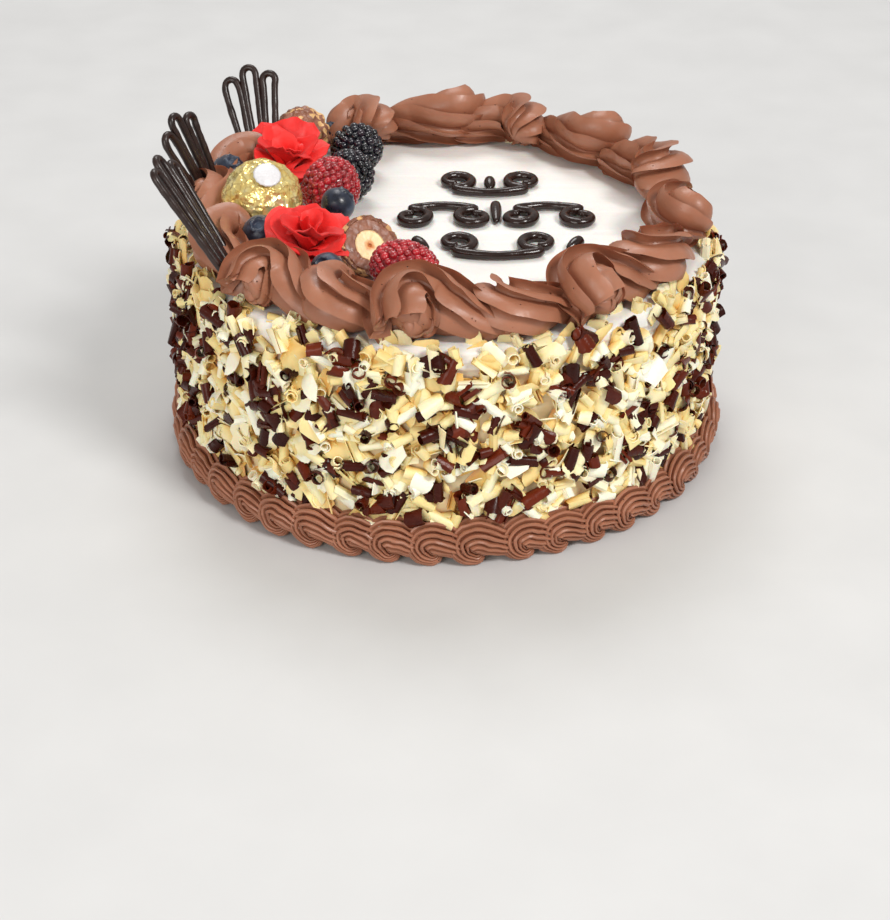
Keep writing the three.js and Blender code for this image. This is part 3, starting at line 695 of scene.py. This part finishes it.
def rose_petal():
    stops = [(0.15, (204, 18, 16)), (0.5, (238, 36, 32)), (0.85, (250, 62, 56))]
    return mottled("rose_petal", stops, (5, 4), (0.45, 0.65), (1.8, 4, 0.2), tint=0.6,
                   Subsurface_Weight=0.05, Subsurface_Scale=0.002, Sheen_Weight=0.08,
                   Sheen_Roughness=0.5)


def dark_chocolate(name, rough):
    stops = [(0.3, (30, 17, 14)), (0.7, (46, 27, 22))]
    return mottled(name, stops, (4, 3), rough, (3, 3, 0.2), Specular_IOR_Level=0.4,
                   Coat_Weight=0.15, Coat_Roughness=0.15)


def pale_floor():
    finish = Finish("pale_floor")
    grain = finish.noise(40)
    finish.colour(grain, (0.3, (206, 207, 208)), (0.7, (210, 211, 212)))
    finish.roughness(grain, 0.55, 0.65)
    return finish.material


# ---- cake ----
def cake_core(material):
    """White cream, spread in level strokes on the wall and in straight strokes on the top."""
    # the rows lie close where the strokes show between the curls
    wall = np.concatenate([
        np.linspace(0, 60, 13), np.linspace(61, CAKE_HEIGHT - TOP_EDGE_ROUND, 61)])
    bend = np.linspace(0, math.pi / 2, 11)[1:]
    top = np.linspace(WALL_RADIUS - TOP_EDGE_ROUND - 3, 3, 34)
    edge_radius = WALL_RADIUS - TOP_EDGE_ROUND * (1 - np.cos(bend))
    edge_height = CAKE_HEIGHT - TOP_EDGE_ROUND * (1 - np.sin(bend))
    radius = np.concatenate([0 * wall + WALL_RADIUS, edge_radius, top])[:, None]
    height = np.concatenate([wall, edge_height, 0 * top + CAKE_HEIGHT])[:, None]
    around = circle(300)
    rings = revolved(radius, height, around)
    upright = np.clip((CAKE_HEIGHT - height) / 4, 0, 1) * np.clip(height / 4, 0, 1)
    comb = waves(rings * (0.06, 0.06, 1.0), 2.6, 21) * 0.16
    swell = waves(rings, 40, 22) * 0.3
    rings += revolved(1, 0, around) * ((comb + swell) * upright)[..., None]
    level = (1 - upright) * (height > CAKE_HEIGHT - 1)
    strokes = waves(rings * (0.08, 1.0, 1.0), 7, 23) * 0.06 + waves(rings, 35, 24) * 0.08
    rings[..., 2] += (strokes - 0.25) * level
    Shape().add(*capped(rings)).piece("white_cream_cake", "white_cream", "cake", material)


# ---- curls ----
def curl_sheets(rng, count, rows, columns, radius, length, turns):
    """A batch of rolled or bent slivers, each about the origin with its axis along X. One that
    isn't rolled up turns its broad side, mostly the hollow one, from or to +Z."""
    def draw(span):
        return rng.uniform(*span, count)[:, None, None]

    u = np.linspace(-0.5, 0.5, rows)[None, :, None]
    v = np.linspace(0, 1, columns)[None, None, :]
    size, long, turn = draw(radius), draw(length), draw(turns)
    thick = draw(CURL_THICKNESS)
    cone = draw((-0.1, 0.1))
    broad = math.pi / 2 - math.pi * turn + rng.normal(0, 0.35, (count, 1, 1))
    broad = broad + math.pi * (draw((0, 1)) < 0.3)
    start = draw((0, TURN)) if turns[1] > 0.7 else broad
    angle = start + TURN * turn * v + draw((-0.4, 0.4)) * u
    shrink = 1 - 0.42 * np.clip(turn, 0, 1.4) * v
    reach = size * shrink * (1 + 2 * cone * u)
    ragged = 1 + rng.normal(0, 0.05, (count, rows, columns)) * (np.abs(u) > 0.4)
    taper = 1 - draw((0.1, 0.55)) * np.abs(2 * v - 1) ** 2.5 * np.minimum(1, 0.5 / turn)
    along = long * u * ragged * taper + draw((-0.5, 0.5)) * v * size
    ones = np.ones((count, rows, columns))
    normal = np.stack([0 * ones, np.cos(angle) * ones, np.sin(angle) * ones], axis=-1)
    middle = normal * reach[..., None]
    middle[..., 0] = along
    rim = (np.abs(2 * v - 1) > 0.99) | (np.abs(u) > 0.49)
    half = (thick / 2 * np.where(rim, 0.55, 1.0))[..., None]
    sheets = np.stack([middle + normal * half, middle - normal * half], axis=1)
    return sheets.reshape(count, -1, 3), slab(rows, columns)


def on_wall(rng, sheets, angle, height, lift, tilt):
    """Lays each sheet of a batch against the wall, at an angle and height round it. A height
    above the cake's lies that much further in on its top."""
    count = len(sheets)
    out = revolved(1, 0, angle)
    up = np.array([0.0, 0.0, 1.0])
    beside = np.cross(up, out)
    spin = rng.uniform(0, TURN, count)[:, None]
    lean = rng.normal(0, tilt, count)[:, None]
    axis = np.cos(lean) * (np.cos(spin) * beside + np.sin(spin) * up) + np.sin(lean) * out
    other = unit(np.cross(out, axis))
    third = np.cross(axis, other)
    laid = np.einsum("nvk,nkj->nvj", sheets, np.stack([axis, other, third], axis=1))
    depth = np.einsum("nvk,nk->nv", laid, out)
    round_edge = np.clip((height - CAKE_HEIGHT) / TOP_EDGE_ROUND + 1, 0, 1)
    inset = TOP_EDGE_ROUND * (1 - np.sqrt(1 - round_edge**2)) + np.maximum(height - CAKE_HEIGHT, 0)
    away = (WALL_RADIUS - inset + lift - depth.min(axis=1))[:, None] * out
    away[:, 2] = np.minimum(height, CAKE_HEIGHT - 0.5)
    return laid + away[:, None]


def curl_chance(spot, height, in_bands):
    """A curl's chance at a place. Curls thin out towards the swirls, where the cream shows, and
    dark ones lie thick in bands, of which the left side has more."""
    chance = np.interp(height, [88, 94], [1.0, 0.6])
    if in_bands:
        field = waves(spot, 30, 41) + 0.6 * waves(spot, 14, 42) - 0.35 * spot[:, 0] / WALL_RADIUS
        chance = chance * np.where(field > 0.45, 1.0, STRAY_CHANCE)
    return chance


def wall_places(rng, count, heights, in_bands):
    """Angles and heights of up to count curls round the wall, thinned out by their chance."""
    tries = count * 6
    angle = rng.uniform(0, TURN, tries)
    height = rng.uniform(*heights, tries)
    spot = revolved(WALL_RADIUS, height * 2.0, angle)
    kept = rng.uniform(0, 1, tries) < curl_chance(spot, height, in_bands)
    return angle[kept][:count], height[kept][:count]


def curls(name, material, kinds, heights, seed, in_bands):
    rng = np.random.default_rng(seed)
    shape = Shape()
    for count, rows, columns, radius, length, turns, lift, tilt in kinds:
        angle, height = wall_places(rng, count, heights, in_bands)
        sheets, faces = curl_sheets(rng, len(angle), rows, columns, radius, length, turns)
        raised = rng.uniform(*lift, len(angle))
        for points in on_wall(rng, sheets, angle, height, raised, tilt):
            shape.add(points, faces, tint=rng.uniform())
    shape.piece(name, name, "cake", material, sharp=50)


# ---- border ----
def border(material):
    """Piped shells, each with fine flutes that curl in at its start."""
    shape = Shape()
    section = flutes(BORDER_RIBS, 4, BORDER_GROOVE, math.radians(280))
    rng = np.random.default_rng(51)
    for k in range(BORDER_SHELLS):
        turn = (k + rng.uniform(-0.12, 0.12)) / BORDER_SHELLS * TURN
        size = rng.uniform(0.93, 1.04)
        course = []
        for along, out, up, _ in SHELL_COURSE:
            angle = turn + along * size / WALL_RADIUS
            reach = WALL_RADIUS + out * size
            course.append((reach * math.cos(angle), reach * math.sin(angle), up * size))
        radii = [radius * size for *_, radius in SHELL_COURSE]
        facing = (math.cos(turn), math.sin(turn), 0.3)
        rings = rope(course, radii, section, steps=BORDER_STEPS, twist=rng.uniform(-0.1, 0.1),
                     up=facing, floor=0)
        rings += waves(rings, 7, 52 + k)[..., None] * 0.1
        rings[..., 2] = np.maximum(rings[..., 2], 0)
        shape.add(*capped(rings))
    shape.piece("border_shells", "chocolate_cream", "bottom_border", material, sharp=42)


# ---- swirls ----
def swirl_course(row, course):
    """A course given along the ring, sideways and up, as points of the cake."""
    angle, radius, side, size, stretch, _ = row
    points = []
    for along, aside, rise, _ in course:
        out = radius + side * aside * size
        turn = math.radians(angle) + along * size * stretch / RING_RADIUS
        points.append((out * math.cos(turn), out * math.sin(turn), TOP + rise * size))
    return points


def swirl_cores(row):
    """The cream that wells up in the middle of the coil."""
    made = []
    for core, ribs in zip(SWIRL_CORES, CORE_RIBS):
        radii = [SWIRL_ROPE * row[3] * thick for *_, thick in core]
        made.append(rope(swirl_course(row, core), radii, ridges(ribs, 8, 0.2, -0.6), steps=26,
                         twist=2.0, finish=0.3))
    return made


def swirl(number, row, material):
    """A coiled rope. One that droops over the edge is open at its start, with cream inside."""
    *_, size, _, droop = row
    radii = [SWIRL_ROPE * size * thick for *_, thick in SWIRL_COURSE]
    low = TOP - droop
    section = ridges(SWIRL_RIBS, 10, SWIRL_GROOVE, -SWIRL_LEAN)
    tips = SWIRL_TIPS * size if droop else 0
    parts = [rope(swirl_course(row, SWIRL_COURSE), radii, section, steps=SWIRL_STEPS,
                  twist=SWIRL_TWIST, floor=low, start=0.16, tips=tips)]
    if droop:
        parts += swirl_cores(row)
    shape = Shape()
    for rings in parts:
        rings = rings + waves(rings, 14, 70 + number)[..., None] * 0.16
        rings[..., 2] = np.maximum(rings[..., 2], low)
        shape.add(*capped(rings))
    shape.piece(f"swirl_{number}", "chocolate_cream", f"top_swirl_{number}", material, sharp=42)


# ---- heap ----
def nubs(directions, count, size, seed):
    """Rounded bumps of random height over a ball, from 0 between them to about 1 on top."""
    rng = np.random.default_rng(seed)
    peaks = unit(rng.normal(size=(count, 3)))
    tall = rng.uniform(0.45, 1.0, count)
    away = np.arccos(np.clip(directions @ peaks.T, -1, 1)) / size
    return (np.clip(1 - away**2, 0, 1) * tall).max(axis=1)


def foil_ball(material):
    """Foil in many small flat facets, with crumpled creases."""
    centre, radius = FOIL_BALL
    directions, faces = icosphere(6)
    rng = np.random.default_rng(61)
    normals = unit(rng.normal(size=(300, 3)))
    far = rng.uniform(0.95, 0.99, 300)
    facing = directions @ normals.T
    flat = (far / np.maximum(facing, 0.3)).min(axis=1)
    wide, narrow = np.abs(waves(directions, 0.33, 62)), np.abs(waves(directions, 0.16, 63))
    reach = np.minimum(flat, 1.0) - (wide * 0.018 + narrow * 0.009)
    points = directions * (radius * reach)[:, None] + centre
    Shape().add(points, faces).piece("foil_wrapped_ball", "gold_foil", "foil_ball", material)


def blank_label(material):
    """A plain round paper, curved over the ball, with a finely scalloped edge."""
    centre, radius = FOIL_BALL
    around = circle(48)
    polar = np.linspace(0.02, 1, 8)[:, None] * LABEL_ANGLE
    polar = polar * (1 + 0.03 * np.cos(around * 16) * (polar > 0.95 * LABEL_ANGLE))
    ring = revolved(np.sin(polar), np.cos(polar), around)
    crinkle = 1 + waves(ring, 0.25, 64)[..., None] * 0.004
    low = ring * crinkle * (radius + GAP)
    high = ring * crinkle * (radius + GAP + LABEL_THICKNESS)
    points, faces = capped(np.concatenate([high, low[::-1]]))
    shape = Shape().add(placed(points, LABEL_FACING, centre), faces)
    shape.piece("blank_label", "label_paper", "foil_ball_label", material)


def nut_ball(material):
    """A ball of chopped nuts under chocolate."""
    centre, radius = NUT_BALL
    directions, faces = icosphere(5)
    reach = 0.87 + 0.15 * nubs(directions, 150, 0.22, 65) + 0.014 * waves(directions, 0.25, 66)
    points = directions * (radius * np.minimum(reach, 1.02))[:, None] + centre
    Shape().add(points, faces).piece("nut_chocolate", "nut_coating", "nut_ball", material)


def half_ball(outer, inner, rough, seed):
    """Rings of a half ball below its flat face, hollow down to an inner radius."""
    around = circle(72)
    quarter = math.pi / 2
    outside = [(outer * math.sin(a), -outer * math.cos(a)) for a in np.linspace(0.05, quarter, 26)]
    across = [(outer - (outer - inner) * s, 0.0) for s in np.linspace(0.12, 0.88, 6)]
    inside = [(inner * math.cos(a), -inner * math.sin(a)) for a in np.linspace(0, quarter - 0.1, 8)]
    profile = np.array(outside + across + inside)
    rings = revolved(profile[:, :1], profile[:, 1:], around)
    face = np.abs(profile[:, 1]) < 1e-9
    rings[face, :, 2] += waves(rings[face], 2.2, seed) * rough
    return rings


def cut_piece(part, slot, rings, material):
    points, faces = capped(rings)
    shape = Shape().add(placed(points, CUT_FACING, CUT_BALL[0]), faces)
    shape.piece(f"halved_ball_{part}", slot, f"cut_ball_{part}", material)


def cut_ball(coating, filling, nut):
    """A halved chocolate: nutty coating, cream filling and half a hazelnut, flush at the cut."""
    radius = CUT_BALL[1]
    core = radius - COATING
    rings = half_ball(radius, core, 0.35, 67)
    size = np.linalg.norm(rings, axis=-1, keepdims=True)
    bumps = nubs((rings / np.maximum(size, 1e-6)).reshape(-1, 3), 110, 0.28, 68)
    outer = (size > radius * 0.99)[..., 0]
    rings *= np.where(outer, 0.9 + 0.12 * bumps.reshape(outer.shape), 1.0)[..., None]
    cut_piece("coating", "nut_coating", rings, coating)
    rings = half_ball(core - 0.1, HAZELNUT_RADIUS - 0.2, 0.16, 69)
    cut_piece("filling", "nut_filling", rings, filling)
    cut_piece("hazelnut", "hazelnut", half_ball(HAZELNUT_RADIUS, 0.6, 0.1, 69), nut)


def berry(number, row, kind, drupelets, seed, material):
    """A berry of many small round drupelets, in even rows round a core."""
    centre, radius, long, lean = row
    count, bump = drupelets
    rng = np.random.default_rng(seed + number)
    core_radius = radius - bump * 0.8
    core_size = core_radius * np.array([1, 1, long])
    ball, faces = icosphere(3)
    # the core shows only between the drupelets; its low tint gives it the darkest colour, painted
    # shade in the gaps
    shape = Shape().add(placed(ball * core_size, lean, centre), faces, tint=0.1)
    small, small_faces = icosphere(2)
    golden = math.pi * (3 - math.sqrt(5))
    for k in range(count):
        level = 1 - 2 * (k + 0.5) / count
        around = k * golden + rng.normal(0, 0.05)
        out = math.sqrt(1 - level**2)
        spot = np.array([out * math.cos(around), out * math.sin(around), level])
        spot = unit(spot + rng.normal(0, 0.02, 3))
        size = bump * rng.uniform(0.9, 1.12)
        drupelet = small * (size, size, size * 0.95) @ basis(unit(spot / (1, 1, long)))
        points = placed(drupelet + spot * core_size, lean, centre)
        shape.add(points, small_faces, tint=rng.uniform())
    shape.piece(f"{kind}_fruit_{number}", kind, f"{kind}_{number}", material)


def blueberry_piece(number, row, material):
    """A ball with a sunken, five-pointed tuft."""
    centre, radius, lean = row
    polar = np.concatenate([np.linspace(0.03, 0.7, 24), np.linspace(0.75, math.pi - 0.04, 20)])
    polar = polar[:, None]
    around = circle(60)
    lobe = 0.5 + 0.5 * np.cos(around * 5)
    tuft = np.exp(-((polar - 0.36 - 0.08 * lobe) / 0.1) ** 2) * (0.035 + 0.06 * lobe)
    sunk = 0.17 * np.clip((0.34 - polar) / 0.1, 0, 1)
    reach = radius * (0.98 + tuft - sunk)
    rings = revolved(reach * np.sin(polar), reach * np.cos(polar) * 0.95, around)
    rings *= 1 + waves(rings, 6, 90 + number)[..., None] * 0.008
    points, faces = capped(rings)
    shape = Shape().add(placed(points, lean, centre, turn=number), faces)
    shape.piece(f"blueberry_fruit_{number}", "blueberry", f"blueberry_{number}", material)


def petal(rng, facing, start, flare, high, wide, cup, curl):
    """One petal about the Z axis: narrow below, wide and waved above, with a pointed, torn tip."""
    rows, columns = 18, 17
    v = np.linspace(0, 1, rows)[:, None]
    u = np.linspace(-1, 1, columns)[None, :]
    spread = wide * (0.5 + 0.7 * np.sin(np.minimum(v * 1.9, 1.7)))
    peak = rng.uniform(-0.35, 0.35)
    fall = rng.uniform(0.35, 0.6) * np.abs(u - peak) ** rng.uniform(0.9, 1.4)
    torn = rng.uniform(-0.09, 0.05, (1, columns))
    height = high * v * (1 - v**2 * (fall - torn))
    phase, across = rng.uniform(0, 6.28), rng.uniform(2.6, 4.4)
    ruffle = 0.13 * high * v**1.6 * np.sin(u * across + phase + v * 1.2)
    reach = start + flare * v**1.3 + curl * v**4 + ruffle - cup * (1 - u**2) * v * (1 - v)
    middle = revolved(reach, height, facing + u * spread / np.maximum(start + flare * v, 4.5))
    normal = unit(np.cross(np.gradient(middle, axis=1), np.gradient(middle, axis=0)))
    rim = (np.abs(u) > 0.99) | (v > 0.99)
    half = normal * np.where(rim, 0.2, 0.55 - 0.15 * v)[..., None]
    return np.stack([middle + half, middle - half]).reshape(-1, 3), slab(rows, columns)


def rose(number, row, material):
    """Layers of petals, each wider and lower than the one inside it."""
    centre, radius, lean, turn = row
    rng = np.random.default_rng(100 + number)
    shape = Shape()
    for level, (count, start, flare, high, wide, cup, curl) in enumerate(ROSE_LAYERS):
        for k in range(count):
            facing = turn + level * 0.7 + (k + rng.uniform(-0.2, 0.2)) * TURN / count
            points, faces = petal(
                rng, facing, radius * start, radius * flare * rng.uniform(0.8, 1.1),
                radius * high * rng.uniform(0.85, 1.06), radius * wide * rng.uniform(0.85, 1.15),
                radius * cup, radius * curl * rng.uniform(0.2, 1.3))
            points[:, 2] -= radius * 0.55
            shape.add(placed(points, lean, centre), faces, tint=rng.uniform())
    shape.piece(f"rose_flower_{number}", "rose_petal", f"rose_{number}", material, sharp=50)


# ---- fans and scrolls ----
def fan(number, row, material):
    """Narrow piped loops side by side, joined at the foot and spread at the top."""
    foot, top, across = (np.array(part, float) for part in row)
    tall = np.linalg.norm(top - foot)
    rise = (top - foot) / tall
    facing = unit(np.cross(across, rise))
    sideways = np.cross(rise, facing)
    half = FAN_LOOP_WIDTH / 2
    shape = Shape()
    for k in range(FAN_LOOPS):
        place = k - (FAN_LOOPS - 1) / 2
        height = tall + (FAN_MIDDLE_EXTRA if place == 0 else 0) - half
        start, end = place * FAN_FOOT_SPREAD, place * FAN_SPREAD
        leg = [(start - half * 0.4, -1), ((start + end) / 2 - half * 0.75, height * 0.5),
               (end - half, height - half), (end - half, height),
               (end - half * 0.7, height + half * 0.7)]
        mirrored = [(2 * (start + (end - start) * min(max(y / height, 0), 1)) - x, y)
                    for x, y in reversed(leg)]
        outline = leg + [(end, height + half)] + mirrored
        course = [foot + sideways * x + rise * y for x, y in outline]
        rings = rope(course, [FAN_ROD] * 2, plain_section(14), steps=110, up=facing, start=0.008,
                     finish=0.008)
        middle = rings.mean(axis=1, keepdims=True)
        uneven = 1 + 0.03 * waves(middle, 5, 110 + number * 3 + k)[..., None]
        rings = middle + (rings - middle) * uneven
        rings[..., 2] = np.maximum(rings[..., 2], TOP)
        shape.add(*capped(rings))
    shape.piece(f"fan_{number}", "dark_chocolate", f"chocolate_fan_{number}", material)


def scroll(number, row, material):
    """An arch between two spirals, in one stroke that swells and thins."""
    (x, y), width, spiral, bend = row
    inner = SCROLL_STROKE * 1.5
    middle = width / 2 - spiral
    lift = TOP + SCROLL_STROKE * 0.8

    def half(side):
        made = []
        for share in np.linspace(0, 1, 10):
            radius = inner + (spiral - inner) * share
            angle = math.pi / 2 + (1 - share) * SCROLL_TURNS * TURN
            made.append((x + side * (middle + radius * math.cos(angle)),
                         y + bend * (radius * math.sin(angle) - SCROLL_ARCH), lift))
        return made

    course = half(-1) + [(x, y + bend * spiral, lift)] + half(1)[::-1]
    share = np.linspace(0, 1, 60)
    rng = np.random.default_rng(120 + number)
    radii = SCROLL_STROKE * (1 - 0.12 * np.cos(share * 4 * math.pi)) * rng.normal(1, 0.02, 60)
    rings = rope(course, radii, plain_section(16), steps=220, floor=TOP - 0.1, start=0.012,
                 finish=0.012)
    shape = Shape().add(*capped(rings))
    shape.piece(f"scroll_{number}", "dark_chocolate", f"piped_scroll_{number}", material)


def drop(number, row, material):
    """A short stroke, thick at its start and pulled out to a point."""
    (x, y), (right, back) = row
    start = np.array([x, y, TOP + SCROLL_STROKE])
    end = start + (right, back, -SCROLL_STROKE * 0.5)
    share = np.linspace(0, 1, 12)
    radii = SCROLL_STROKE * (0.5 + 0.8 * np.sin(math.pi * (0.2 + 0.8 * share)))
    rings = rope([start, (start + end) / 2, end], radii, plain_section(20), steps=40,
                 floor=TOP - 0.1, start=0.1, finish=0.1)
    shape = Shape().add(*capped(rings))
    shape.piece(f"drop_{number}", "dark_chocolate", f"piped_drop_{number}", material)


# ---- stage ----
def floor():
    reach = FLOOR_REACH
    corners = [(-reach, -reach, 0), (reach, -reach, 0), (reach, reach, 0), (-reach, reach, 0)]
    mesh = bpy.data.meshes.new("studio_floor")
    mesh.from_pydata(corners, [], [(0, 1, 2, 3)])
    mesh.materials.append(pale_floor())
    made = bpy.data.objects.new("studio_floor", mesh)
    bpy.context.scene.collection.objects.link(made)


def studio():
    for name, place, aim, size, watts, colour in LIGHTS:
        lamp = bpy.data.lights.new(name, "AREA")
        lamp.shape = "DISK"
        lamp.size = size
        lamp.energy = watts
        lamp.color = colour
        made = bpy.data.objects.new(name, lamp)
        made.location = place
        made.rotation_euler = (Vector(aim) - Vector(place)).to_track_quat("-Z", "Y").to_euler()
        bpy.context.scene.collection.objects.link(made)
    world = bpy.data.worlds.new("studio")
    world.use_nodes = True
    background = world.node_tree.nodes["Background"].inputs
    background["Color"].default_value = WORLD_COLOUR
    background["Strength"].default_value = WORLD_STRENGTH
    bpy.context.scene.world = world
    bpy.context.scene.view_settings.view_transform = "Standard"


def camera():
    lens = bpy.data.cameras.new("camera")
    lens.sensor_width = SENSOR
    lens.lens = FOCAL_LENGTH / PHOTO_HEIGHT * SENSOR
    made = bpy.data.objects.new("camera", lens)
    made.location = CAMERA_PLACE
    made.rotation_euler = (CAMERA_TILT, 0, 0)
    bpy.context.scene.collection.objects.link(made)
    bpy.context.scene.camera = made


def every(make, rows, *details):
    """Makes one piece for each row, numbered from 1."""
    for number, row in enumerate(rows, 1):
        make(number, row, *details)


# ---- assembly ----
camera()
studio()
floor()
cake_core(white_cream())
curls("white_curls", white_curls(), WHITE_CURLS, WHITE_CURL_HEIGHTS, 31, in_bands=False)
curls("dark_curls", dark_curls(), DARK_CURLS, DARK_CURL_HEIGHTS, 32, in_bands=True)
cream = chocolate_cream()
border(cream)
every(swirl, SWIRLS, cream)
foil_ball(gold_foil())
blank_label(label_paper())
nutty = nut_coating()
nut_ball(nutty)
cut_ball(nutty, nut_filling(), hazelnut([MM * along for along in CUT_BALL[0]]))
every(berry, RASPBERRIES, "raspberry", RASPBERRY_DRUPELETS, 80, raspberry())
every(berry, BRAMBLES, "bramble", BRAMBLE_DRUPELETS, 84, bramble())
every(blueberry_piece, BLUEBERRIES, blueberry())
every(rose, ROSES, rose_petal())
every(fan, FANS, dark_chocolate("fan_chocolate", (0.3, 0.42)))
piped = dark_chocolate("piped_chocolate", (0.16, 0.26))
every(scroll, SCROLLS, piped)
every(drop, DROPS, piped)
